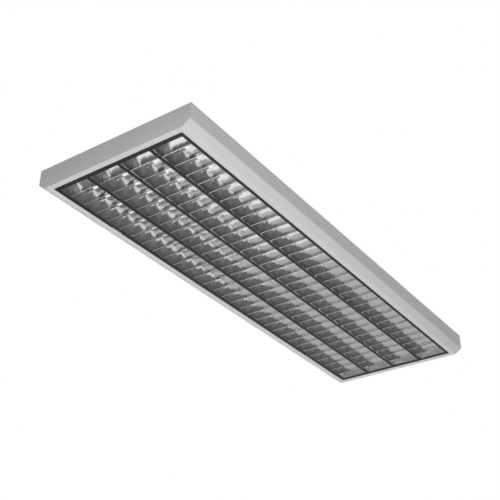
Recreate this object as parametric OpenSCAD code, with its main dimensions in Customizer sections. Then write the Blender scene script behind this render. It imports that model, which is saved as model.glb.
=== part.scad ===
// Surface-mounted louvre luminaire with four rows of straight T5 lamps.
// Millimetres. The origin is the centre of the top face, which lies against the ceiling.
// X runs along the lamps, Y across the rows and Z up, so the luminaire hangs below Z = 0.

/* [Body shell] */
// Depth of the whole body below the ceiling
body_h = 51; // [50:0.5:56]
// Height of the upright part of each long side
side_h = 38; // [30:0.5:44]
// Width of the slanted band along each long lower edge
chamfer_w = 17.5; // [10:0.5:30]
// Width of the flat lip along each long side
lip_w = 13; // [8:0.5:20]
// Width of the flat lip at each end
end_lip_w = 13.8; // [11:0.2:16]
// Thickness of the steel sheet
sheet = 1; // [0.8:0.1:1.2]
// Height of the return flange round the opening
return_h = 8; // [7:0.5:9]
// Width of the weld flanges under the top panel
weld_flange_w = 14; // [8:1:16]

/* [Fixing] */
// Distance between the fixing holes along the body
fixing_pitch_x = 900; // [840:10:960]
// Distance between the fixing holes across the body
fixing_pitch_y = 124; // [118:1:130]
// Diameter of a fixing hole
fixing_d = 6.5; // [5:0.5:8]
// Place of the mains cable entry along the body
entry_x = -330; // [-380:1:-300]
// Diameter of the hole for the mains cable bush
entry_d = 20; // [16:1:24]
// Bore of the rubber bush
bush_bore_d = 14; // [8:1:15]

/* [Lamps] */
// Length of a lamp between its cap faces
lamp_l = 1149; // [1100:1:1449]
// Diameter of a lamp
lamp_d = 16; // [15.8:0.05:16.2]
// Wall of the glass tube
glass_wall = 0.8; // [0.6:0.1:1.2]
// Length of a lamp cap
cap_l = 10; // [8:0.5:14]
// Wall of a lamp cap
cap_wall = 0.3; // [0.2:0.05:0.5]
// Diameter of a lamp pin
pin_d = 2.4; // [2.2:0.05:2.6]
// Distance between the two pins of a cap
pin_pitch = 4.75; // [4.5:0.05:5]
// Length of a lamp pin
pin_l = 7.1; // [6:0.1:7.5]
// Depth of the lamp axis below the ceiling
lamp_depth = 17; // [16:0.5:17.5]

/* [Lampholders] */
// Room from a lamp's cap face to the end of the body
end_room = 33.5; // [32:0.5:40]
// Thickness of a lampholder along the lamp
holder_t = 12; // [10:0.5:13]
// Width of a lampholder across the lamp
holder_w = 20; // [18:0.5:21]
// Diameter of the turning rotor
rotor_d = 14.3; // [12:0.1:15]
// Free play between the rotor and its seat, on the radius
rotor_play = 0.05; // [0.02:0.01:0.09]
// Free play between a pin and the rotor's slot, on each side
slot_play = 0.07; // [0.05:0.01:0.2]
// Gap between a lamp cap and the lampholder's face
face_gap = 0.3; // [0.2:0.05:0.5]

/* [Louvre frame] */
// Free width of one row between its two mirrors
cell_w = 75.3; // [73:0.1:80]
// Width of the black strip between two rows
divider_w = 7.4; // [6:0.2:10]
// Width of the black strip along each long side
rail_w = 7.2; // [6.8:0.1:8]
// Width of the black strip at each end
end_bar_w = 10.4; // [9:0.2:12]
// Thickness of the strips
strip_t = 1.2; // [0.8:0.1:1.3]
// Height of the upright webs on the strips
web_h = 6; // [4:0.5:6.5]
// Gap between the louvre frame and the opening
frame_gap = 0.6; // [0.5:0.05:0.9]
// Height of the strips' faces above the lip's face
strip_recess = 0.8; // [0.6:0.1:1.5]

/* [Mirrors and blades] */
// Width between a row's mirrors beside the lamp
throat_w = 44; // [38:0.5:46]
// Depth of the mirrors' upper edges below the ceiling
throat_depth = 22; // [22:0.5:24]
// Radius of the mirrors' curve
mirror_r = 150; // [120:5:200]
// Thickness of the mirror sheet
mirror_t = 0.4; // [0.3:0.05:0.6]
// Distance the end mirrors lean in over the row
end_mirror_lean = 12; // [8:0.5:14]
// Spacing of the cross blades
blade_pitch = 38.1; // [30:0.1:60]
// Width of a blade's lower edge
blade_edge = 1.4; // [1.2:0.1:2.5]
// Radius of a blade's hollow flanks
flank_r = 46; // [40:1:80]
// Gap between a lamp and the blades' upper edges
blade_gap = 1; // [0.8:0.1:3]
// Gap between a blade's end and the mirror
blade_end_gap = 0.2; // [0.1:0.05:0.4]

/* [Hinges and catches] */
// Distance between the two hinges, and between the two catches
hinge_span = 800; // [600:10:900]
// Radius of a hinge knuckle
knuckle_r = 1.6; // [1.5:0.05:1.65]
// Radius of a hinge pin
hinge_pin_r = 0.75; // [0.6:0.05:0.8]
// Free play of a hinge pin, on the radius
hinge_play = 0.05; // [0.02:0.01:0.08]
// Length of a moving knuckle
moving_knuckle_l = 12; // [8:1:20]
// Length of each fixed knuckle
fixed_knuckle_l = 8; // [5:1:15]
// Gap between neighbouring knuckles
knuckle_gap = 0.3; // [0.2:0.05:0.5]
// Thickness of the hinge leaves
leaf_t = 0.8; // [0.6:0.1:1]
// Width of a catch spring along the body
catch_w = 14; // [10:1:30]
// Thickness of a catch spring
catch_t = 0.5; // [0.4:0.1:0.7]
// Gap between a catch spring's nose and its keeper
catch_gap = 0.35; // [0.3:0.05:0.5]

/* [Control gear] */
// Length of a ballast
ballast_l = 360; // [300:5:420]
// Width of a ballast
ballast_w = 30; // [26:1:32]
// Height of a ballast
ballast_h = 20.5; // [18:0.5:20.5]
// Length of a ballast's connectors
connector_l = 12; // [10:1:16]
// Width of a ballast's connectors
connector_w = 24; // [22:1:26]
// Height of a ballast's connectors
connector_h = 11; // [9:0.5:14]
// Length of a ballast's fixing tabs
tab_l = 26; // [24:1:32]
// Width of a ballast's fixing tabs
tab_w = 16; // [14:1:18]
// Place of the terminal block along the body
terminal_x = -260; // [-275:1:-250]
// Depth of the terminal block along the body
terminal_d = 16; // [12:1:20]
// Height of the terminal block
terminal_h = 14; // [12:0.5:16]
// Spacing of the terminal block's poles
pole_pitch = 7; // [6:0.5:7.5]

/* [Hidden] */
$fn = 96;
ROWS = 4;
SIDES = [[-1, "left"], [1, "right"]];

// One name for each sub-part, those of the rows and ends numbered from the -Y side

// How far a cut runs past the face that it opens
over = 1;

// Half sizes across the body, from the rows outwards
row_pitch = cell_w + divider_w;
mirrors_hw = (ROWS * cell_w + (ROWS - 1) * divider_w) / 2;
frame_hw = mirrors_hw + rail_w;
opening_hw = frame_hw + frame_gap;
body_hw = opening_hw + lip_w + chamfer_w;

// Half sizes along the body, from the lamps outwards
lamp_hl = lamp_l / 2;
body_hl = lamp_hl + end_room;
opening_hl = body_hl - end_lip_w;
frame_hl = opening_hl - frame_gap;
mirrors_hl = frame_hl - end_bar_w;
shell_hl = body_hl - sheet;

// Heights, all below the ceiling
strip_z = -body_h + strip_recess;
mirror_foot_z = strip_z + strip_t;
web_top_z = mirror_foot_z + web_h;
return_top_z = -body_h + return_h;
lamp_z = -lamp_depth;
blade_top_z = lamp_z - lamp_d / 2 - blade_gap;

// Lampholders and rotors
holder_x = lamp_hl + face_gap;
holder_bottom_z = lamp_z - holder_w / 2;
rotor_face_gap = 0.1;
rotor_end_gap = 0.2;
rotor_web = 0.8;
pin_end_gap = 0.3;
pin_slot_depth = pin_l - face_gap - rotor_face_gap + pin_end_gap;
rotor_t = pin_slot_depth + rotor_web;
seat_depth = rotor_face_gap + rotor_t + rotor_end_gap;
seat_r = rotor_d / 2 + rotor_play;
entry_slot_play = 0.3;
entry_slot_w = pin_d + 2 * entry_slot_play;
cap_face_t = 1;

// Blades, as many as the mirrors' length holds
blade_count = floor(2 * mirrors_hl / blade_pitch);
blade_x0 = -(blade_count - 1) * blade_pitch / 2;
end_mirror_gap = 1;
end_mirror_top_z = holder_bottom_z - end_mirror_gap;

// Hinge line, tucked into the corner between lip and louvre
knuckle_clear = 0.1;
hinge_y = opening_hw - knuckle_r - knuckle_clear;
hinge_z = -body_h + knuckle_r + knuckle_clear;
hinge_clear = 0.4;
hinge_l = moving_knuckle_l + 2 * fixed_knuckle_l + 2 * knuckle_gap;
notch_y = hinge_y - knuckle_r - hinge_clear;
pin_head_r = 1.3;
pin_head_t = 0.6;

// Catches, on the side across from the hinges
keeper_t = 0.8;
keeper_face_y = frame_hw - strip_t;
keeper_margin = 2;
keeper_w = catch_w + 2 * keeper_margin;
nose_y = keeper_face_y + catch_gap;
catch_y = opening_hw + sheet + catch_t / 2;
catch_root_gap = 0.3;
catch_root_z = return_top_z + catch_root_gap;
nose_rise = 3;
nose_z = return_top_z + nose_rise;
nose_half_h = 1.6;
nose_tip_half_h = 0.5;
catch_tip_l = 4;
catch_top_z = nose_z + catch_tip_l;

// Control gear
ballast_y = row_pitch;
tab_t = 1;
screw_r = 1.9;
screw_play = 0.1;
screw_head_r = 2.8;
screw_head_t = 2;
screw_inset = 6;
screw_x = ballast_l / 2 + tab_l - screw_inset;
connector_gap = 0.2;
POLES = 5;
pole_i = (POLES - 1) / 2;
terminal_wall = 0.5;
terminal_w = POLES * pole_pitch + 2 * terminal_wall;
wire_hole_r = 1.8;
wire_hole_depth = 6;
wire_hole_drop = 5;
well_r = 2.4;
well_depth = 8;
terminal_screw_r = 2.2;
terminal_screw_h = 5;
stud_r = 2;
stud_l = 12;
nut_r = 4;
nut_h = 3.2;
stud_offset = 50;
stud_x = terminal_x + stud_offset;
bush_flange_w = 2.5;
bush_flange_t = 2;
bush_play = 0.05;

// Places and outlines

function row_y(i) = (i - (ROWS + 1) / 2) * row_pitch;
function unit(v) = v / norm(v);
function left_of(v) = [-v[1], v[0]];

// Point i of a path moved to its left by d, mitred where two runs meet
function moved(path, i, d) =
    let (last = len(path) - 1,
        before = unit(path[max(i, 1)] - path[max(i, 1) - 1]),
        after = unit(path[min(i, last - 1) + 1] - path[min(i, last - 1)]),
        m = left_of(before) + left_of(after))
    path[i] + 2 * d * m / (m * m);

function moved_path(path, d) = [for (i = [0:len(path) - 1]) moved(path, i, d)];
function reversed(path) = [for (i = [len(path) - 1:-1:0]) path[i]];

module along_x(l) { rotate([90, 0, 90]) linear_extrude(l, center = true) children(); }
module along_y(l) { rotate([90, 0, 0]) linear_extrude(l, center = true) children(); }
module rod_x(r, l) { rotate([0, 90, 0]) cylinder(r = r, h = l, center = true); }

// A box between two corners
module block(low, high) { translate(low) cube(high - low); }

// Sheet of thickness t to the left of a path
module folded(path, t) { polygon(concat(path, reversed(moved_path(path, t)))); }

// Both ends of the body, built for the +X end
module at_both_ends() {
    for (s = [0, 1]) mirror([s, 0, 0]) children();
}

module at_end(side) { mirror([side < 0 ? 1 : 0, 0, 0]) children(); }

// Body shell

module top_panel() color("lightgray") {
    difference() {
        block([-shell_hl, -body_hw, -sheet], [shell_hl, body_hw, 0]);
        for (x = [-1, 1], y = [-1, 1])
            translate([x * fixing_pitch_x / 2, y * fixing_pitch_y / 2, 0])
                cylinder(d = fixing_d, h = 2 * sheet + over, center = true);
        translate([entry_x, 0, 0]) cylinder(d = entry_d, h = 2 * sheet + over, center = true);
        for (x = [-1, 1], y = [-1, 1])
            translate([x * screw_x, y * ballast_y, 0])
                cylinder(r = screw_r + screw_play, h = 2 * sheet + over, center = true);
    }
}

// Weld flange, side, slanted band, lip and return of the +Y side
module side_profile() color("lightgray") {
    along_x(2 * shell_hl) folded([
        [body_hw - weld_flange_w, -sheet],
        [body_hw, -sheet],
        [body_hw, -side_h],
        [body_hw - chamfer_w, -body_h],
        [opening_hw, -body_h],
        [opening_hw, return_top_z]
    ], -sheet);
}

// End plate with its lip, return and weld flange, at the +X end
module end_cap() color("silver") {
    translate([body_hl - sheet / 2, 0, 0]) along_x(sheet) polygon([
        [-body_hw, 0], [body_hw, 0],
        [body_hw, -side_h], [body_hw - chamfer_w, -body_h],
        [-body_hw + chamfer_w, -body_h], [-body_hw, -side_h]
    ]);
    block([opening_hl, -opening_hw, -body_h], [body_hl, opening_hw, -body_h + sheet]);
    block([opening_hl, -opening_hw, -body_h], [opening_hl + sheet, opening_hw, return_top_z]);
    flange_hw = body_hw - weld_flange_w - over;
    block([shell_hl - weld_flange_w, -flange_hw, -2 * sheet], [body_hl, flange_hw, -sheet]);
}

// Rubber bush in the cable entry, flush with the ceiling face
module cable_bush() color("dimgray") {
    hole_r = entry_d / 2 - bush_play;
    translate([entry_x, 0, 0]) rotate_extrude() polygon([
        [bush_bore_d / 2, 0], [hole_r, 0], [hole_r, -sheet],
        [hole_r + bush_flange_w, -sheet], [hole_r + bush_flange_w, -sheet - bush_flange_t],
        [bush_bore_d / 2, -sheet - bush_flange_t]
    ]);
}

// Control gear

module terminal_block() color("white") {
    difference() {
        block([terminal_x - terminal_d / 2, -terminal_w / 2, -sheet - terminal_h],
            [terminal_x + terminal_d / 2, terminal_w / 2, -sheet]);
        for (p = [-pole_i:pole_i]) translate([terminal_x, p * pole_pitch, 0]) {
            translate([0, 0, -sheet - terminal_h - over]) cylinder(r = well_r, h = well_depth + over);
            translate([-terminal_d / 2 - over, 0, -sheet - wire_hole_drop])
                rotate([0, 90, 0]) cylinder(r = wire_hole_r, h = wire_hole_depth + over);
        }
    }
}

module terminal_screws() color("goldenrod") {
    for (p = [-pole_i:pole_i])
        translate([terminal_x, p * pole_pitch, -sheet - terminal_h + well_depth - terminal_screw_h])
            cylinder(r = terminal_screw_r, h = terminal_screw_h);
}

module earth_stud() color("goldenrod") {
    translate([stud_x, 0, -sheet - stud_l]) cylinder(r = stud_r, h = stud_l);
    translate([stud_x, 0, -sheet - nut_h]) cylinder(r = nut_r, h = nut_h, $fn = 6);
}

module ballast(y) color("gainsboro") {
    translate([0, y, 0]) difference() {
        union() {
            block([-ballast_l / 2, -ballast_w / 2, -sheet - ballast_h], [ballast_l / 2, ballast_w / 2, -sheet]);
            block([-ballast_l / 2 - tab_l, -tab_w / 2, -sheet - tab_t], [ballast_l / 2 + tab_l, tab_w / 2, -sheet]);
        }
        for (x = [-1, 1]) translate([x * screw_x, 0, -sheet - tab_t - over])
            cylinder(r = screw_r + screw_play, h = tab_t + 2 * over);
    }
}

module ballast_connectors() color("white") {
    top_z = -sheet - tab_t - connector_gap;
    for (y = [-1, 1]) translate([0, y * ballast_y, 0]) at_both_ends()
        block([ballast_l / 2, -connector_w / 2, top_z - connector_h],
            [ballast_l / 2 + connector_l, connector_w / 2, top_z]);
}

module ballast_screws() color("silver") {
    for (x = [-1, 1], y = [-1, 1]) translate([x * screw_x, y * ballast_y, -sheet - tab_t]) {
        cylinder(r = screw_r, h = sheet + tab_t);
        translate([0, 0, -screw_head_t]) cylinder(r = screw_head_r, h = screw_head_t);
    }
}

// Lampholders and lamps

// Rotary lampholder at the +X end, with the slot that the pins come up through
module lampholder(i) color("white") {
    translate([holder_x, row_y(i), lamp_z]) difference() {
        union() {
            block([0, -holder_w / 2, 0], [holder_t, holder_w / 2, lamp_depth - sheet]);
            translate([holder_t / 2, 0, 0]) rod_x(holder_w / 2, holder_t);
        }
        translate([(seat_depth - over) / 2, 0, 0]) rod_x(seat_r, seat_depth + over);
        block([-over, -entry_slot_w / 2, -holder_w / 2 - over], [seat_depth, entry_slot_w / 2, 0]);
    }
}

// Rotor at the +X end, turned to hold the pins level
module rotor(i) color("whitesmoke") {
    translate([holder_x + rotor_face_gap, row_y(i), lamp_z]) difference() {
        translate([rotor_t / 2, 0, 0]) rod_x(rotor_d / 2, rotor_t);
        slot_hh = pin_d / 2 + slot_play;
        block([-over, -rotor_d, -slot_hh], [pin_slot_depth, rotor_d, slot_hh]);
    }
}

module lamp_tube(i) color("white") {
    glass_r = lamp_d / 2 - cap_wall;
    translate([0, row_y(i), lamp_z]) difference() {
        rod_x(glass_r, lamp_l - 2 * cap_face_t);
        rod_x(glass_r - glass_wall, lamp_l);
    }
}

// Two metal caps with their pins
module lamp_caps(i) color("silver") {
    translate([0, row_y(i), lamp_z]) at_both_ends() {
        difference() {
            translate([lamp_hl - cap_l / 2, 0, 0]) rod_x(lamp_d / 2, cap_l);
            translate([lamp_hl - cap_face_t - cap_l / 2, 0, 0]) rod_x(lamp_d / 2 - cap_wall, cap_l);
        }
        for (y = [-1, 1]) translate([lamp_hl + pin_l / 2, y * pin_pitch / 2, 0]) rod_x(pin_d / 2, pin_l);
    }
}

// Louvre frame

module strip_and_web(foot_in, foot_out, web_in, web_out) {
    block([foot_in[0], foot_in[1], strip_z], [foot_out[0], foot_out[1], mirror_foot_z]);
    block([web_in[0], web_in[1], strip_z], [web_out[0], web_out[1], web_top_z]);
}

// Black angle strip along the +Y side
module frame_rail() {
    strip_and_web([-frame_hl, mirrors_hw], [frame_hl, frame_hw],
        [-frame_hl, frame_hw - strip_t], [frame_hl, frame_hw]);
}

module frame_rail_front() color("#2b2b2b") mirror([0, 1, 0]) frame_rail();

// The hinge side's strip is cut back round each hinge
module frame_rail_rear() color("#2b2b2b") {
    notch_hl = hinge_l / 2 + over;
    difference() {
        frame_rail();
        for (x = [-1, 1]) translate([x * hinge_span / 2, 0, 0])
            block([-notch_hl, notch_y, strip_z - over], [notch_hl, frame_hw + over, web_top_z + over]);
    }
}

// Black angle strip across the +X end, with its web standing on the rails
module frame_end() color("#2b2b2b") {
    web_hw = frame_hw - strip_t;
    block([mirrors_hl, -mirrors_hw, strip_z], [frame_hl, mirrors_hw, mirror_foot_z]);
    block([frame_hl - strip_t, -web_hw, mirror_foot_z], [frame_hl, web_hw, web_top_z]);
}

// Black tee strips between the rows
module divider_strips() color("#2b2b2b") {
    for (i = [1:ROWS - 1]) translate([0, row_y(i) + row_pitch / 2, 0]) {
        block([-mirrors_hl, -divider_w / 2, strip_z], [mirrors_hl, divider_w / 2, mirror_foot_z]);
        block([-mirrors_hl, -strip_t / 2, strip_z], [mirrors_hl, strip_t / 2, web_top_z]);
    }
}

// Mirrors and blades

// Centre of the curve that joins a mirror's foot to its upper edge, on the +Y side of a row
mirror_foot = [cell_w / 2, mirror_foot_z];
mirror_head = [throat_w / 2, -throat_depth];
mirror_chord = mirror_head - mirror_foot;
mirror_centre = (mirror_foot + mirror_head) / 2
    + sqrt(pow(mirror_r, 2) - pow(norm(mirror_chord) / 2, 2)) * left_of(unit(mirror_chord));

module mirror_circle(r) { translate(mirror_centre) circle(r = r, $fn = 180); }

// The space between a row's mirrors from z0 up to z1, kept clear of them by gap
module cell_section(z0, z1, gap) {
    intersection() {
        translate([-cell_w / 2, z0]) square([cell_w, z1 - z0]);
        mirror_circle(mirror_r - gap);
        mirror([1, 0]) mirror_circle(mirror_r - gap);
    }
}

// The two hollow side mirrors of row i
module side_mirrors(i) color("lightsteelblue") {
    translate([0, row_y(i), 0]) for (s = [0, 1]) mirror([0, s, 0])
        along_x(2 * mirrors_hl) intersection() {
            translate([0, mirror_foot_z]) square([cell_w, -throat_depth - mirror_foot_z]);
            difference() {
                mirror_circle(mirror_r + mirror_t);
                mirror_circle(mirror_r);
            }
        }
}

// One low mirror across each end of each row, leaning in under the lampholder
module end_mirrors() color("lightsteelblue") {
    top_x = mirrors_hl - end_mirror_lean;
    for (i = [1:ROWS]) translate([0, row_y(i), 0]) at_both_ends() intersection() {
        along_y(cell_w) polygon([
            [mirrors_hl, mirror_foot_z], [mirrors_hl + mirror_t, mirror_foot_z],
            [top_x + mirror_t, end_mirror_top_z], [top_x, end_mirror_top_z]
        ]);
        along_x(2 * frame_hl) cell_section(mirror_foot_z, end_mirror_top_z, blade_end_gap);
    }
}

// Upright wedge with hollow flanks, narrowed by inset on each flank
module blade_wedge(z0, inset) {
    r = flank_r + inset;
    cx = flank_r + blade_edge / 2;
    difference() {
        translate([-cx, z0]) square([2 * cx, blade_top_z - z0]);
        for (s = [-1, 1]) translate([s * cx, mirror_foot_z]) circle(r = r, $fn = 180);
    }
}

// A cross blade: thin sheet folded to a V, its ends shaped to the side mirrors
module cross_blade() {
    intersection() {
        along_y(cell_w) difference() {
            blade_wedge(mirror_foot_z, 0);
            blade_wedge(mirror_foot_z + mirror_t, mirror_t);
        }
        along_x(blade_pitch) cell_section(mirror_foot_z, blade_top_z, blade_end_gap);
    }
}

module cross_blades(i) color("lightsteelblue") {
    for (k = [0:blade_count - 1])
        translate([blade_x0 + k * blade_pitch, row_y(i), 0]) cross_blade();
}

// Hinges, on the +Y side

module at_hinges() { for (x = [-1, 1]) translate([x * hinge_span / 2, 0, 0]) children(); }

module knuckle(l) { translate([0, hinge_y, hinge_z]) rod_x(knuckle_r, l); }

module hinge_bore() { translate([0, hinge_y, hinge_z]) rod_x(hinge_pin_r + hinge_play, hinge_l + over); }

// Fixed ears with their knuckles, standing on the body's return flange
module hinge_brackets() color("dimgray") {
    ear_x = (moving_knuckle_l + fixed_knuckle_l) / 2 + knuckle_gap;
    bridge_z = hinge_z + knuckle_r + hinge_clear;
    at_hinges() difference() {
        union() {
            for (s = [-1, 1]) translate([s * ear_x, 0, 0]) {
                knuckle(fixed_knuckle_l);
                block([-fixed_knuckle_l / 2, opening_hw - leaf_t, hinge_z],
                    [fixed_knuckle_l / 2, opening_hw, return_top_z]);
            }
            block([-hinge_l / 2, opening_hw - leaf_t, bridge_z], [hinge_l / 2, opening_hw, return_top_z]);
        }
        hinge_bore();
    }
}

module hinge_pins() color("silver") {
    at_hinges() translate([0, hinge_y, hinge_z]) {
        rod_x(hinge_pin_r, hinge_l);
        for (s = [-1, 1]) translate([s * (hinge_l + pin_head_t) / 2, 0, 0]) rod_x(pin_head_r, pin_head_t);
    }
}

// Moving knuckle with its leaf, lying on the frame strip
module hinge_leaves() color("dimgray") {
    at_hinges() difference() {
        union() {
            knuckle(moving_knuckle_l);
            block([-moving_knuckle_l / 2, mirrors_hw + over, mirror_foot_z],
                [moving_knuckle_l / 2, hinge_y, mirror_foot_z + leaf_t]);
        }
        hinge_bore();
    }
}

// Catches, on the -Y side

module at_catches() { for (x = [-1, 1]) translate([x * hinge_span / 2, 0, 0]) mirror([0, 1, 0]) children(); }

// Strip fixed behind the return flange, which carries the spring
module catch_bases() color("silver") {
    at_catches() block([-catch_w / 2, opening_hw + sheet, -body_h + sheet],
        [catch_w / 2, opening_hw + sheet + catch_t, return_top_z]);
}

// Leaf spring whose nose leans over the return flange towards the keeper
module catch_spring(side) color("silver") {
    translate([side * hinge_span / 2, 0, 0]) mirror([0, 1, 0]) along_x(catch_w) folded([
        [catch_y - catch_t / 2, catch_root_z],
        [catch_y - catch_t / 2, nose_z - nose_half_h],
        [nose_y, nose_z - nose_tip_half_h],
        [nose_y, nose_z + nose_tip_half_h],
        [catch_y - catch_t / 2, nose_z + nose_half_h],
        [catch_y - catch_t / 2, catch_top_z]
    ], -catch_t);
}

// Plate standing up from the louvre's strip, which the spring's nose bears on
module catch_keepers() color("silver") {
    at_catches() block([-keeper_w / 2, keeper_face_y - keeper_t, mirror_foot_z],
        [keeper_w / 2, keeper_face_y, catch_top_z]);
}

top_panel();
mirror([0, 1, 0]) side_profile();  // side_profile_front
side_profile();  // side_profile_rear
for (s = SIDES) at_end(s[0]) end_cap();
cable_bush();
terminal_block();
terminal_screws();
earth_stud();
ballast(-ballast_y);  // ballast_1
ballast(ballast_y);  // ballast_2
ballast_connectors();
ballast_screws();
for (s = SIDES, i = [1:ROWS]) {
    at_end(s[0]) lampholder(i);
    at_end(s[0]) rotor(i);
}
for (i = [1:ROWS]) {
    lamp_tube(i);
    lamp_caps(i);
}
hinge_brackets();
hinge_pins();
hinge_leaves();
catch_bases();
for (s = SIDES) catch_spring(s[0]);
catch_keepers();
frame_rail_front();
frame_rail_rear();
for (s = SIDES) at_end(s[0]) frame_end();
divider_strips();
for (i = [1:ROWS]) side_mirrors(i);
end_mirrors();
for (i = [1:ROWS]) cross_blades(i);
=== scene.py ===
"""A surface-mounted office luminaire with four rows of mirror louvre, seen from below."""
import math

import bmesh
import bpy
from mathutils import Matrix, Vector


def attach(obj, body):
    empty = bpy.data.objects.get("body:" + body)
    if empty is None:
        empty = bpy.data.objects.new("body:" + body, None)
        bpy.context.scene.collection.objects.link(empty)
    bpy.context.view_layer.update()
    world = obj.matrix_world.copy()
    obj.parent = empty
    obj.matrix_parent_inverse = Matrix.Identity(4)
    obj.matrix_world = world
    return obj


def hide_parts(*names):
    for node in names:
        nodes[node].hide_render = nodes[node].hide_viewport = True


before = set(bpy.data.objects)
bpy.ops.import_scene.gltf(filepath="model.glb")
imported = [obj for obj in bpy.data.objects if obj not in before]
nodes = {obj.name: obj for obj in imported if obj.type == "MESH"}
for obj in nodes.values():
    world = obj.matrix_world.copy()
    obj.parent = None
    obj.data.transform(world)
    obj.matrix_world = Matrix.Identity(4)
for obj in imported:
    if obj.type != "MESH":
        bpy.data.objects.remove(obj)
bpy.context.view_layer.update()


# The camera looks up at the luminaire from beside its left end, below the front side.
# Its place, its turn and its lens come from fitting the body's corners to the photograph.
camera_data = bpy.data.cameras.new("camera")
camera_data.lens = 69.27
camera_data.clip_end = 30
camera = bpy.data.objects.new("camera", camera_data)
camera_right = Vector((0.57245, -0.81988, 0.00987))
camera_up = Vector((-0.42826, -0.28870, 0.85630))
camera_back = camera_right.cross(camera_up)
camera_turn = Matrix((camera_right, camera_up, camera_back)).transposed()
camera.matrix_world = Matrix.Translation((-1.702, -1.1146, -1.1844)) @ camera_turn.to_4x4()
bpy.context.collection.objects.link(camera)
bpy.context.scene.camera = camera
bpy.context.scene.view_settings.view_transform = "Standard"


def linear(hex_colour):
    """Linear colour of an sRGB hex value."""
    channels = [int(hex_colour[i:i + 2], 16) / 255 for i in (1, 3, 5)]
    return [c / 12.92 if c <= 0.04045 else ((c + 0.055) / 1.055) ** 2.4 for c in channels] + [1]


def add_node(material, kind, settings=None, links=None):
    """Adds a shader node: settings are its sockets' values or its own properties, links its inputs."""
    tree = material.node_tree
    node = tree.nodes.new("ShaderNode" + kind)
    for name, value in (settings or {}).items():
        if name in node.inputs:
            node.inputs[name].default_value = value
        else:
            setattr(node, name, value)
    for name, socket in (links or {}).items():
        tree.links.new(socket, node.inputs[name])
    return node


def new_material(name):
    """A material with an empty tree, and the output that its shader goes to."""
    material = bpy.data.materials.new(name)
    material.use_nodes = True
    material.node_tree.nodes.clear()
    return material, add_node(material, "OutputMaterial")


def wear(material, objects):
    """Puts one material on CAD nodes or pieces."""
    for o in objects:
        o.data.materials.clear()
        o.data.materials.append(material)


# The room: a pale floor 2.4 m below the ceiling, wide enough to fill what the mirrors look down on.
# The camera, metal and glass see white beyond it, and the body gets a plain grey fill.
world = bpy.data.worlds.new("room")
world.use_nodes = True
world.node_tree.nodes.clear()
bpy.context.scene.world = world
fill_light = 0.11
ray = add_node(world, "LightPath")
seen = add_node(world, "Math", {"operation": "MAXIMUM"})
world.node_tree.links.new(ray.outputs["Is Camera Ray"], seen.inputs[0])
world.node_tree.links.new(ray.outputs["Is Glossy Ray"], seen.inputs[1])
seen_through = add_node(world, "Math", {"operation": "MAXIMUM"})
world.node_tree.links.new(seen.outputs[0], seen_through.inputs[0])
world.node_tree.links.new(ray.outputs["Is Transmission Ray"], seen_through.inputs[1])
fill = add_node(world, "Background", {"Color": (1, 1, 1, 1), "Strength": fill_light})
white = add_node(world, "Background", {"Color": (1, 1, 1, 1), "Strength": 1})
both = add_node(world, "MixShader")
world.node_tree.links.new(seen_through.outputs[0], both.inputs[0])
world.node_tree.links.new(fill.outputs[0], both.inputs[1])
world.node_tree.links.new(white.outputs[0], both.inputs[2])
add_node(world, "OutputWorld", links={"Surface": both.outputs[0]})

room_h = 2.4
floor_reach = 40
floor_mesh = bmesh.new()
bmesh.ops.create_grid(floor_mesh, x_segments=1, y_segments=1, size=floor_reach)
bmesh.ops.translate(floor_mesh, verts=floor_mesh.verts, vec=(0, 0, -room_h))
floor_data = bpy.data.meshes.new("floor")
floor_mesh.to_mesh(floor_data)
floor = bpy.data.objects.new("floor", floor_data)
bpy.context.collection.objects.link(floor)
floor_paint, floor_output = new_material("floor_paint")
floor_shader = add_node(floor_paint, "BsdfDiffuse", {"Color": linear("#DEDEDE")})
floor_paint.node_tree.links.new(floor_shader.outputs[0], floor_output.inputs["Surface"])
wear(floor_paint, [floor])


# Soft lights. The key light on the camera's side and a weak one behind light the body, both kept out of
# reflections. The mirrors gather three low ones just over the floor, and one overhead lights the top.
def soft_light(name, place, aim, length, width, watts):
    """A soft light at a place, turned towards an aim, its length level."""
    data = bpy.data.lights.new(name, "AREA")
    data.shape = "RECTANGLE"
    data.size = length
    data.size_y = width
    data.energy = watts
    lamp = bpy.data.objects.new(name, data)
    back = (Vector(place) - Vector(aim)).normalized()
    across = Vector((0, 1, 0)).cross(back).normalized()
    turn = Matrix((across, back.cross(across), back)).transposed()
    lamp.matrix_world = Matrix.Translation(place) @ turn.to_4x4()
    bpy.context.collection.objects.link(lamp)
    return lamp


key_light = soft_light("key_light", (-1.4, -1.6, -2.0), (-0.2, 0.0, 0.0), 3.2, 0.8, 60)
key_light.visible_glossy = False
soft_light("low_light", (1.1, 0.8, -2.2), (1.1, 0.8, 0.0), 2.2, 2.0, 16.6)
soft_light("far_light", (4.2, 2.45, -2.2), (4.2, 2.45, 0.0), 4.0, 3.1, 19.5)
soft_light("near_light", (-4.2, 2.45, -2.2), (-4.2, 2.45, 0.0), 2.0, 3.1, 17.5)
soft_light("top_light", (0.0, 0.0, 7.0), (0.0, 0.0, 0.0), 2.5, 2.5, 290)
rear_light = soft_light("rear_light", (1.4, 2.2, 0.3), (0.2, 0.0, -0.03), 3.2, 0.3, 6)
rear_light.visible_glossy = False
rear_light.data.spread = math.radians(50)


# The body is folded from 1 mm sheet steel: a profile down each long side holds the upright
# side, the slanted band, the lip and the return, and a cap is welded across each end.
sheet_t = 0.001
body_hw = 0.2
body_hl = 0.608
body_h = 0.051
side_h = 0.038
band_w = 0.0175
opening_hw = 0.1695
opening_hl = 0.5942
return_h = 0.008
flange_w = 0.014
fold_r = 0.0012


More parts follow.
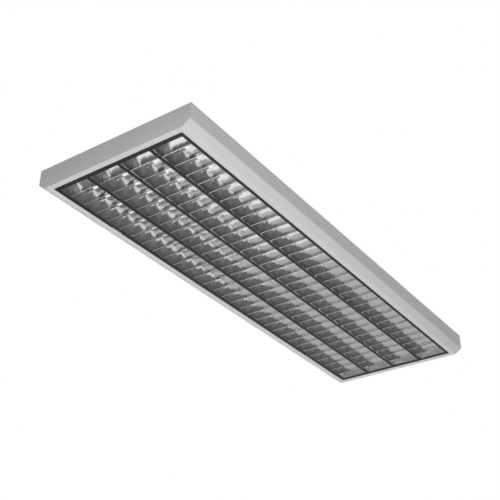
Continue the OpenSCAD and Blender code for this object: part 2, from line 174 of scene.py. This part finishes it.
def piece_from(mesh, name, body, material):
    """Turns a bmesh into a piece that rides on a body."""
    data = bpy.data.meshes.new(name)
    mesh.to_mesh(data)
    mesh.free()
    piece = bpy.data.objects.new(name, data)
    bpy.context.collection.objects.link(piece)
    wear(material, [piece])
    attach(piece, body)
    return piece


def smooth_except_folds(mesh, fold=math.radians(35)):
    """Smooth shading, with sharp edges where two faces meet at more than the fold angle."""
    for face in mesh.faces:
        face.smooth = True
    for edge in mesh.edges:
        edge.smooth = len(edge.link_faces) == 2 and edge.calc_face_angle(0) < fold


def draw_path(mesh, points):
    """Draws a line of edges through points, one extruded vertex after another."""
    drawn = [mesh.verts.new(points[0])]
    for before, after in zip(points, points[1:]):
        grown = bmesh.ops.extrude_vert_indiv(mesh, verts=[drawn[-1]])["verts"]
        bmesh.ops.translate(mesh, verts=grown, vec=Vector(after) - Vector(before))
        drawn += grown
    return drawn


def sweep(mesh, edges, way):
    """Draws edges out along a way into faces."""
    swept = bmesh.ops.extrude_edge_only(mesh, edges=edges)["geom"]
    bmesh.ops.translate(mesh, verts=[g for g in swept if isinstance(g, bmesh.types.BMVert)], vec=way)


def round_off(mesh, geom, radius, segments, affect="EDGES"):
    """Rounds edges, or with VERTICES the corners of a drawn path."""
    bmesh.ops.bevel(mesh, geom=geom, offset=radius, offset_type="OFFSET", segments=segments, profile=0.5,
                    affect=affect, material=-1)


def add_block(mesh, low, high):
    """Adds a block between two corners."""
    size = Vector(high) - Vector(low)
    block = bmesh.ops.create_cube(mesh, size=1)["verts"]
    bmesh.ops.scale(mesh, verts=block, vec=size)
    bmesh.ops.translate(mesh, verts=block, vec=Vector(low) + size / 2)


def grain(material, size, detail, dark, light):
    """Noise of one grain size on the object itself, and a tone that follows it between two colours."""
    place = add_node(material, "TexCoord")
    noise = add_node(material, "TexNoise", {"Scale": 1 / size, "Detail": detail},
                     {"Vector": place.outputs["Object"]})
    tone = add_node(material, "ValToRGB", links={"Fac": noise.outputs["Fac"]})
    tone.color_ramp.elements[0].color = linear(dark)
    tone.color_ramp.elements[1].color = linear(light)
    return noise.outputs["Fac"], tone.outputs[0]


def between(material, low, high, value):
    """A value that follows a noise from low to high."""
    ranged = add_node(material, "MapRange", {"To Min": low, "To Max": high}, {"Value": value})
    return ranged.outputs[0]


def bump(material, strength, distance, height):
    """A bump of some strength and depth, to plug in as the normal."""
    raised = add_node(material, "Bump", {"Strength": strength, "Distance": distance}, {"Height": height})
    return raised.outputs[0]


def surface(material, output, settings, links):
    """Makes a material's shader and plugs it into the output."""
    shader = add_node(material, "BsdfPrincipled", settings, links)
    material.node_tree.links.new(shader.outputs[0], output.inputs["Surface"])


# Polyester powder coat, light grey, sprayed and baked: a satin sheen over a fine orange-peel grain.
# The coat's thickness drifts a little, so the sheen does too. The grain is drawn twice its size to show.
powder_coat, coat_output = new_material("powder_coat")
coat_drift_size = 0.09
coat_drift, coat_tone = grain(powder_coat, coat_drift_size, 2.0, "#D9D9D9", "#DFDFDF")
peel_size = 0.0018
peel_place = add_node(powder_coat, "TexCoord")
peel = add_node(powder_coat, "TexNoise", {"Scale": 1 / peel_size, "Detail": 1.5},
                {"Vector": peel_place.outputs["Object"]})
peel_depth = 0.0002
surface(powder_coat, coat_output, {},
        {"Base Color": coat_tone, "Roughness": between(powder_coat, 0.38, 0.48, coat_drift),
         "Normal": bump(powder_coat, 0.08, peel_depth, peel.outputs["Fac"])})
wear(powder_coat, [nodes["top_panel"]])

profile_path = [(body_hw - flange_w, -sheet_t), (body_hw, -sheet_t), (body_hw, -side_h),
                (body_hw - band_w, -body_h), (opening_hw, -body_h), (opening_hw, return_h - body_h)]
fold_steps = 4
for place, side in (("front", -1), ("rear", 1)):
    profile = bmesh.new()
    drawn = draw_path(profile, [(sheet_t - body_hl, y, z) for y, z in profile_path])
    round_off(profile, drawn[1:-1], fold_r, fold_steps, "VERTICES")
    sweep(profile, profile.edges[:], (2 * (body_hl - sheet_t), 0, 0))
    bmesh.ops.recalc_face_normals(profile, faces=profile.faces)
    upright = max(profile.faces, key=lambda f: f.calc_center_median().y + f.calc_area())
    if upright.normal.y < 0:
        bmesh.ops.reverse_faces(profile, faces=profile.faces)
    bmesh.ops.solidify(profile, geom=profile.faces[:], thickness=sheet_t)
    bmesh.ops.scale(profile, verts=profile.verts, vec=(1, side, 1))
    bmesh.ops.recalc_face_normals(profile, faces=profile.faces)
    smooth_except_folds(profile)
    piece = piece_from(profile, f"folded_side_{place}", "body", powder_coat)
    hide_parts(f"side_profile_{place}")

corner_soft = 0.0006
touching = 1e-6
cut_tolerance = 1e-7
for place, side in (("left", -1), ("right", 1)):
    cap = bmesh.new()
    add_block(cap, (body_hl - sheet_t, -body_hw, -body_h), (body_hl, body_hw, 0))
    for y in (-1, 1):
        low_corner = (body_hl, y * (body_hw - band_w), -body_h)
        slant = Vector((0, y * (body_h - side_h), -band_w))
        whole = cap.verts[:] + cap.edges[:] + cap.faces[:]
        cut = bmesh.ops.bisect_plane(cap, geom=whole, dist=cut_tolerance, plane_co=low_corner, plane_no=slant,
                                     clear_outer=True)["geom_cut"]
        bmesh.ops.holes_fill(cap, edges=[g for g in cut if isinstance(g, bmesh.types.BMEdge)], sides=0)
    outline = [e for e in cap.edges if all(v.co.x > body_hl - touching for v in e.verts)]
    round_off(cap, outline, corner_soft, 3)
    lip = bmesh.new()
    lip_path = [(opening_hl, return_h - body_h), (opening_hl, -body_h), (body_hl - sheet_t, -body_h)]
    drawn = draw_path(lip, [(x, -opening_hw, z) for x, z in lip_path])
    round_off(lip, drawn[1:-1], fold_r, fold_steps, "VERTICES")
    sweep(lip, lip.edges[:], (0, 2 * opening_hw, 0))
    bmesh.ops.recalc_face_normals(lip, faces=lip.faces)
    flat = min(lip.faces, key=lambda f: f.calc_center_median().z - f.calc_area())
    if flat.normal.z > 0:
        bmesh.ops.reverse_faces(lip, faces=lip.faces)
    bmesh.ops.solidify(lip, geom=lip.faces[:], thickness=sheet_t)
    lip_data = bpy.data.meshes.new("lip")
    lip.to_mesh(lip_data)
    lip.free()
    cap.from_mesh(lip_data)
    flange_hw = body_hw - flange_w - sheet_t
    flange_x = body_hl - sheet_t
    add_block(cap, (flange_x - flange_w, -flange_hw, -2 * sheet_t), (flange_x, flange_hw, -sheet_t))
    bmesh.ops.scale(cap, verts=cap.verts, vec=(side, 1, 1))
    bmesh.ops.recalc_face_normals(cap, faces=cap.faces)
    smooth_except_folds(cap)
    piece = piece_from(cap, f"welded_end_{place}", "body", powder_coat)
    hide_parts(f"end_cap_{place}")


# The louvre's frame is 1.2 mm steel strip with upright webs, stove enamelled in black.
# The enamel is thin, so it shows a faint mottle and a satin sheen.
black_enamel, enamel_output = new_material("stove_enamel")
enamel_mottle_size = 0.006
enamel_mottle, enamel_tone = grain(black_enamel, enamel_mottle_size, 3.0, "#161616", "#1F1F1F")
enamel_depth = 0.0002
surface(black_enamel, enamel_output, {"Specular IOR Level": 0.3},
        {"Base Color": enamel_tone, "Roughness": between(black_enamel, 0.34, 0.44, enamel_mottle),
         "Normal": bump(black_enamel, 0.1, enamel_depth, enamel_mottle)})
strips = ["frame_rail_front", "frame_rail_rear", "frame_end_left", "frame_end_right", "divider_strips"]
wear(black_enamel, [nodes[n] for n in strips])


# The mirrors are 0.4 mm aluminium strip, rolled, chemically brightened and anodised clear: a pair of
# hollow ones stands along each row, clipped to the strips, and a flat one leans in at each end.
# It reflects like a mirror with a slight haze, and the rolled sheet isn't quite flat.
bright_aluminium, bright_output = new_material("brightened_aluminium")
roll_place = add_node(bright_aluminium, "TexCoord")
roll_stretch = 9
roll_map = add_node(bright_aluminium, "Mapping", {"Scale": (1, roll_stretch, roll_stretch)},
                    {"Vector": roll_place.outputs["Object"]})
roll_line_size = 0.012
roll_lines = add_node(bright_aluminium, "TexNoise", {"Scale": 1 / roll_line_size, "Detail": 3.0},
                      {"Vector": roll_map.outputs[0]})
wave_size = 0.024
wave_depth = 0.0006
waves = add_node(bright_aluminium, "TexNoise", {"Scale": 1 / wave_size, "Detail": 1.0},
                 {"Vector": roll_place.outputs["Object"]})
surface(bright_aluminium, bright_output, {"Base Color": linear("#DEDEDE"), "Metallic": 1.0},
        {"Roughness": between(bright_aluminium, 0.08, 0.14, roll_lines.outputs["Fac"]),
         "Normal": bump(bright_aluminium, 1.0, wave_depth, waves.outputs["Fac"])})
row_count = 4
rows = range(1, row_count + 1)
row_pitch = 0.0827
cell_w = 0.0753
mirror_foot_z = -0.049
mirror_head_z = -0.022
throat_w = 0.044
mirror_r = 0.15
mirror_t = 0.0004
mirrors_hl = 0.5832


def row_y(i):
    """Middle of a row, the first one at the front."""
    return (i - (row_count + 1) / 2) * row_pitch


foot = Vector((cell_w / 2, mirror_foot_z))
mirror_head = Vector((throat_w / 2, mirror_head_z))
chord = mirror_head - foot
towards_centre = Vector((-chord.y, chord.x)).normalized()
chord_offset = math.sqrt(mirror_r ** 2 - chord.length ** 2 / 4)
mirror_centre = (foot + mirror_head) / 2 + towards_centre * chord_offset
mirror_turn = 2 * math.asin(chord.length / 2 / mirror_r)
mirror_steps = 18
for i in rows:
    mirror = bmesh.new()
    start = mirror.verts.new((-mirrors_hl, *foot))
    bmesh.ops.spin(mirror, geom=[start], cent=(0, *mirror_centre), axis=(1, 0, 0), angle=mirror_turn,
                   steps=mirror_steps)
    sweep(mirror, mirror.edges[:], (2 * mirrors_hl, 0, 0))
    bmesh.ops.recalc_face_normals(mirror, faces=mirror.faces)
    if mirror.faces[:][0].normal.y > 0:
        bmesh.ops.reverse_faces(mirror, faces=mirror.faces)
    bmesh.ops.solidify(mirror, geom=mirror.faces[:], thickness=mirror_t)
    whole = mirror.verts[:] + mirror.edges[:] + mirror.faces[:]
    bmesh.ops.mirror(mirror, geom=whole, axis="Y", merge_dist=-1)
    bmesh.ops.recalc_face_normals(mirror, faces=mirror.faces)
    bmesh.ops.translate(mirror, verts=mirror.verts, vec=(0, row_y(i), 0))
    smooth_except_folds(mirror)
    piece = piece_from(mirror, f"mirror_pair_{i}", "louvre", bright_aluminium)
    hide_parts(f"side_mirrors_{i}")
wear(bright_aluminium, [nodes["end_mirrors"]])


# Cross blades of the same aluminium stand between the mirrors, 38.1 mm apart. Each is one strip folded
# to a slim V with hollow flanks and a rounded lower edge, its ends cut to the mirrors' curve.
blade_pitch = 0.0381
blade_count = 30
blade_edge = 0.0014
blade_edge_soft = 0.0002
blade_top_z = -0.026
flank_r = 0.046
blade_end_gap = 0.0002
flank_turn = math.asin((blade_top_z - mirror_foot_z) / flank_r)
flank_steps = 8
blade = bmesh.new()
for side in (1, -1):
    start = blade.verts.new((side * blade_edge / 2, -1, mirror_foot_z))
    bmesh.ops.spin(blade, geom=[start], cent=(side * (blade_edge / 2 + flank_r), 0, mirror_foot_z),
                   axis=(0, side, 0), angle=flank_turn, steps=flank_steps)
lower_edge = [v for v in blade.verts if v.co.z < mirror_foot_z + touching]
bmesh.ops.contextual_create(blade, geom=lower_edge)
round_off(blade, lower_edge, blade_edge_soft, 3, "VERTICES")
sweep(blade, blade.edges[:], (0, 2, 0))

# The flanks are drawn from -1 to 1 and scaled here to where the mirrors stand at each height.
for v in blade.verts:
    across = math.sqrt((mirror_r - blade_end_gap) ** 2 - (v.co.z - mirror_centre.y) ** 2)
    v.co.y *= across + mirror_centre.x
bmesh.ops.recalc_face_normals(blade, faces=blade.faces)
if min(blade.faces, key=lambda f: f.calc_center_median().z).normal.z > 0:
    bmesh.ops.reverse_faces(blade, faces=blade.faces)
bmesh.ops.solidify(blade, geom=blade.faces[:], thickness=mirror_t)
smooth_except_folds(blade)
blade_data = bpy.data.meshes.new("blade")
blade.to_mesh(blade_data)
blade.free()
for i in rows:
    blades = bmesh.new()
    for k in range(blade_count):
        blades.from_mesh(blade_data)
        middle = ((k - (blade_count - 1) / 2) * blade_pitch, row_y(i), 0)
        bmesh.ops.translate(blades, verts=blades.verts[k * len(blade_data.vertices):], vec=middle)
    piece = piece_from(blades, f"blade_set_{i}", "louvre", bright_aluminium)
    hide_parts(f"cross_blades_{i}")


# The lamps are T5 fluorescent tubes: 16 mm glass, coated inside with white phosphor powder.
# The powder looks faintly mottled through the clear glass. A weak glow stands for the light
# that the mirrors gather on it, which a render of this kind finds poorly.
phosphor_tube, tube_output = new_material("phosphor_tube")
powder_size = 0.004
powder_tone = grain(phosphor_tube, powder_size, 4.0, "#EDEDEB", "#F6F6F4")[1]
weak_glow = 0.5
surface(phosphor_tube, tube_output,
        {"Roughness": 0.5, "Coat Weight": 1.0, "Coat Roughness": 0.03,
         "Emission Strength": weak_glow, "Emission Color": linear("#F4F4F2")},
        {"Base Color": powder_tone})
lamp_z = -0.017
lamp_hl = 0.5745
cap_l = 0.010
cap_r = 0.008
cap_wall = 0.0003
tube_r = cap_r - cap_wall
round_steps = 48
upright_to_x = Matrix.Rotation(math.pi / 2, 3, "Y")
for i in rows:
    tube = bmesh.new()
    bmesh.ops.create_cone(tube, cap_ends=True, segments=round_steps, radius1=tube_r, radius2=tube_r,
                          depth=2 * (lamp_hl - cap_l / 2))
    bmesh.ops.rotate(tube, verts=tube.verts, cent=(0, 0, 0), matrix=upright_to_x)
    bmesh.ops.translate(tube, verts=tube.verts, vec=(0, row_y(i), lamp_z))
    smooth_except_folds(tube)
    piece = piece_from(tube, f"glass_tube_{i}", f"lamp_{i}", phosphor_tube)
    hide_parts(f"lamp_tube_{i}")


# A cap closes each end of a lamp: pressed aluminium with a rolled rim, and two pins.
# Pressing leaves shallow rings round it, 5 mm apart. The texture draws 20 radians to a unit.
cap_aluminium, cap_output = new_material("pressed_aluminium")
cap_place = add_node(cap_aluminium, "TexCoord")
ring_pitch = 0.00503
ring_depth = 0.0001
texture_rate = 20
rings = add_node(cap_aluminium, "TexWave",
                 {"Scale": math.tau / (texture_rate * ring_pitch), "Distortion": 1.0},
                 {"Vector": cap_place.outputs["Object"]})
surface(cap_aluminium, cap_output, {"Base Color": linear("#C9C9C9"), "Metallic": 1.0},
        {"Roughness": between(cap_aluminium, 0.26, 0.38, rings.outputs["Fac"]),
         "Normal": bump(cap_aluminium, 0.15, ring_depth, rings.outputs["Fac"])})
rim_soft = 0.0008
pin_r = 0.0012
pin_l = 0.0071
pin_soft = 0.0005
pin_pitch = 0.00475
pin_steps = 20
for i in rows:
    caps = bmesh.new()
    bmesh.ops.create_cone(caps, cap_ends=True, segments=round_steps, radius1=cap_r, radius2=cap_r,
                          depth=cap_l)
    rim = [e for e in caps.edges if all(v.co.z > 0 for v in e.verts)]
    round_off(caps, rim, rim_soft, 3)
    bmesh.ops.translate(caps, verts=caps.verts, vec=(0, 0, lamp_hl - cap_l / 2))
    for y in (-1, 1):
        already = set(caps.verts)
        bmesh.ops.create_cone(caps, cap_ends=True, segments=pin_steps, radius1=pin_r, radius2=pin_r,
                              depth=pin_l)
        pin = [v for v in caps.verts if v not in already]
        tip = {e for v in pin if v.co.z > 0 for e in v.link_edges if all(w.co.z > 0 for w in e.verts)}
        bmesh.ops.translate(caps, verts=pin, vec=(0, y * pin_pitch / 2, lamp_hl + pin_l / 2))
        round_off(caps, list(tip), pin_soft, 2)
    bmesh.ops.rotate(caps, verts=caps.verts, cent=(0, 0, 0), matrix=upright_to_x)
    whole = caps.verts[:] + caps.edges[:] + caps.faces[:]
    bmesh.ops.mirror(caps, geom=whole, axis="X", merge_dist=-1)
    bmesh.ops.recalc_face_normals(caps, faces=caps.faces)
    bmesh.ops.translate(caps, verts=caps.verts, vec=(0, row_y(i), lamp_z))
    smooth_except_folds(caps)
    piece = piece_from(caps, f"lamp_cap_pair_{i}", f"lamp_{i}", cap_aluminium)
    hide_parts(f"lamp_caps_{i}")


# Lampholders, rotors, ballast connectors and the terminal block are moulded in white PBT.
# The mould's fine spark grain gives it a dull sheen.
white_pbt, pbt_output = new_material("moulded_pbt")
spark_size = 0.0006
spark_depth = 0.0001
spark_grain, pbt_tone = grain(white_pbt, spark_size, 2.0, "#E8E8E4", "#EFEFEB")
surface(white_pbt, pbt_output, {"Roughness": 0.4},
        {"Base Color": pbt_tone, "Normal": bump(white_pbt, 0.15, spark_depth, spark_grain)})
ends = ("left", "right")
wear(white_pbt, [nodes[f"lampholder_{e}_{i}"] for e in ends for i in rows])
wear(white_pbt, [nodes[f"rotor_{e}_{i}"] for e in ends for i in rows])
wear(white_pbt, [nodes["ballast_connectors"], nodes["terminal_block"]])


# The two ballasts have folded steel cases with a white lacquer, and screw to the top panel.
# The lacquer is thin and flows to a soft gloss with long, shallow waves.
white_lacquer, lacquer_output = new_material("rolled_lacquer")
flow_size = 0.012
flow_depth = 0.0003
flow, lacquer_tone = grain(white_lacquer, flow_size, 2.0, "#E0E0E0", "#E8E8E8")
surface(white_lacquer, lacquer_output, {"Roughness": 0.35},
        {"Base Color": lacquer_tone, "Normal": bump(white_lacquer, 0.1, flow_depth, flow)})
wear(white_lacquer, [nodes["ballast_1"], nodes["ballast_2"]])


# Screws, hinges, catches and their keepers are steel, electroplated with zinc.
# The plate is a cool grey with a cloudy sheen.
zinc_plate, zinc_output = new_material("zinc_plate")
cloud_size = 0.003
clouds, zinc_tone = grain(zinc_plate, cloud_size, 3.0, "#A9ACB0", "#BEC0C3")
surface(zinc_plate, zinc_output, {"Metallic": 1.0},
        {"Base Color": zinc_tone, "Roughness": between(zinc_plate, 0.28, 0.42, clouds)})
plated = ("ballast_screws", "hinge_brackets", "hinge_pins", "hinge_leaves", "catch_bases",
          "catch_spring_left", "catch_spring_right", "catch_keepers")
wear(zinc_plate, [nodes[n] for n in plated])


# The terminal screws and the earth stud are turned brass, bare and slightly dulled.
turned_brass, brass_output = new_material("turned_brass")
tarnish_size = 0.002
tarnish, brass_tone = grain(turned_brass, tarnish_size, 3.0, "#B08A48", "#CDA95F")
surface(turned_brass, brass_output, {"Metallic": 1.0},
        {"Base Color": brass_tone, "Roughness": between(turned_brass, 0.25, 0.4, tarnish)})
wear(turned_brass, [nodes["terminal_screws"], nodes["earth_stud"]])


# The cable bush is moulded black rubber, matt with a powdery grain, snapped into the top panel.
bush_rubber, rubber_output = new_material("moulded_rubber")
rubber_grain_size = 0.0008
rubber_depth = 0.0001
rubber_grain, rubber_tone = grain(bush_rubber, rubber_grain_size, 2.0, "#232323", "#303030")
surface(bush_rubber, rubber_output, {"Roughness": 0.7},
        {"Base Color": rubber_tone, "Normal": bump(bush_rubber, 0.2, rubber_depth, rubber_grain)})
wear(bush_rubber, [nodes["cable_bush"]])
